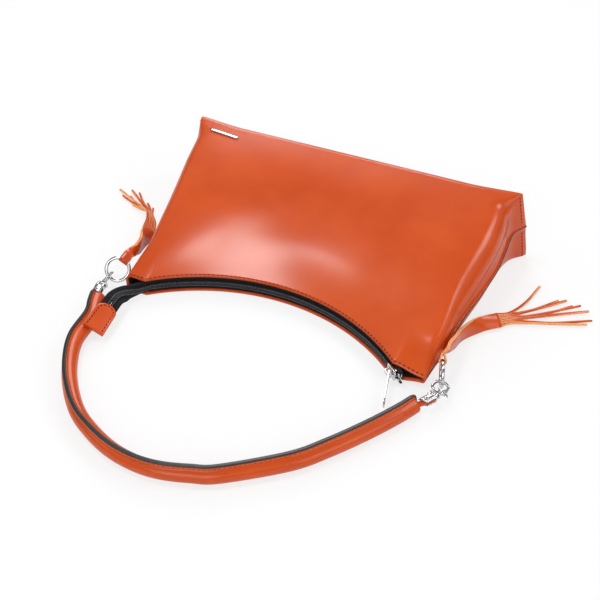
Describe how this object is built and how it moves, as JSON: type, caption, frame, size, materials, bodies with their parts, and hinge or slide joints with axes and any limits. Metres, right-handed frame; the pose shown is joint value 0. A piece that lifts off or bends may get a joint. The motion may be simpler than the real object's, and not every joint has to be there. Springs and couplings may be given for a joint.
{
  "type": "baguette bag",
  "caption": "Small zipped shoulder bag with a curved mouth, boxed base, rolled handle on swivel claw hooks, end rings and leather tassels.",
  "frame": {"origin": "middle of the flat back panel, on its outer face", "axes": "+X along the bag's width, +Y from the mouth towards the base, +Z out of the front panel"},
  "size_m": [0.44, 0.3457, 0.0679],
  "materials": {
    "leather": "glossy smooth leather",
    "leather_trim": "glossy smooth leather with painted edges",
    "lining_cloth": "woven lining",
    "tape_cloth": "woven zip tape",
    "coil_nylon": "nylon coil",
    "metal": "polished plate",
    "filling": "soft filling cord"
  },
  "bodies": {
    "bag": {"front_panel": "leather", "back_panel": "leather", "lining": "lining_cloth", "zip_tape_front": "tape_cloth", "zip_tape_back": "tape_cloth", "zip_coil_front": "coil_nylon", "zip_coil_back": "coil_nylon", "zip_stop_front": "metal", "zip_stop_back": "metal", "zip_end_tab": "leather_trim", "tassel_left": "leather", "tassel_right": "leather"},
    "slider": {"zip_slider": "metal"},
    "pull": {"zip_pull": "metal"},
    "handle": {"handle_cover": "leather", "handle_core": "filling", "handle_strip_left": "leather_trim", "handle_strip_right": "leather_trim", "clamp_left": "metal", "clamp_right": "metal", "rivet_left": "metal", "rivet_right": "metal", "pin_left": "metal", "pin_right": "metal"},
    "swivel_left": {"swivel_left": "metal"},
    "swivel_right": {"swivel_right": "metal"},
    "claw_left": {"claw_left": "metal"},
    "claw_right": {"claw_right": "metal"},
    "gate_left": {"gate_left": "metal"},
    "gate_right": {"gate_right": "metal"},
    "ring_left": {"ring_left": "metal"},
    "ring_right": {"ring_right": "metal"}
  },
  "joints": [
    {"name": "zip_slide", "type": "hinge", "parent": "bag", "child": "slider", "pos_m": [-0.006, -0.2165, 0.0075], "axis": [0, 0, 1], "range_deg": [0, 76], "deforming": ["zip_tape_front", "zip_tape_back", "zip_coil_front", "zip_coil_back"]},
    {"name": "zip_pull_turn", "type": "hinge", "parent": "slider", "child": "pull", "pos_m": [0.10372, -0.10128, 0.0075], "axis": [0, 0, 1], "range_deg": [-130, 8]},
    {"name": "handle_swing", "type": "hinge", "parent": "bag", "child": "handle", "pos_m": [-0.00252, -0.1061, 0.00718], "axis": [-0.9996, 0.0254, -0.0086], "range_deg": [-90, 90], "deforming": ["zip_end_tab", "zip_tape_front", "zip_tape_back"]},
    {"name": "hook_tilt_left", "type": "hinge", "parent": "bag", "child": "swivel_left", "pos_m": [-0.14632, -0.10245, 0.00595], "axis": [0.9996, -0.0254, 0.0086], "range_deg": [-6, 2]},
    {"name": "hook_swivel_left", "type": "hinge", "parent": "swivel_left", "child": "claw_left", "pos_m": [-0.14632, -0.10245, 0.00595], "axis": [-0.1232, 0.9924, -0.0013], "range_deg": [-12, 12]},
    {"name": "gate_open_left", "type": "hinge", "parent": "claw_left", "child": "gate_left", "pos_m": [-0.1439, -0.0958, 0.00977], "axis": [-0.7598, -0.0935, 0.6434], "range_deg": [0, 15], "stiffness_Nm_per_rad": 0.01, "springref_deg": -5.73},
    {"name": "ring_slip_left", "type": "hinge", "parent": "bag", "child": "ring_left", "pos_m": [-0.1424, -0.0845, 0.0103], "axis": [0.324, -0.694, 0.643], "continuous": true},
    {"name": "hook_tilt_right", "type": "hinge", "parent": "bag", "child": "swivel_right", "pos_m": [0.14129, -0.10974, 0.00842], "axis": [0.9996, -0.0254, 0.0086], "range_deg": [-2, 6]},
    {"name": "hook_swivel_right", "type": "hinge", "parent": "swivel_right", "child": "claw_right", "pos_m": [0.14129, -0.10974, 0.00842], "axis": [0.1734, 0.9849, 0.0013], "range_deg": [-12, 12]},
    {"name": "gate_open_right", "type": "hinge", "parent": "claw_right", "child": "gate_right", "pos_m": [0.14724, -0.10439, 0.00765], "axis": [0.153, -0.0282, 0.9878], "range_deg": [0, 15], "stiffness_Nm_per_rad": 0.01, "springref_deg": -5.73},
    {"name": "ring_slip_right", "type": "hinge", "parent": "bag", "child": "ring_right", "pos_m": [0.1402, -0.0899, 0.0113], "axis": [0.9404, 0.3401, 0], "continuous": true}
  ]
}
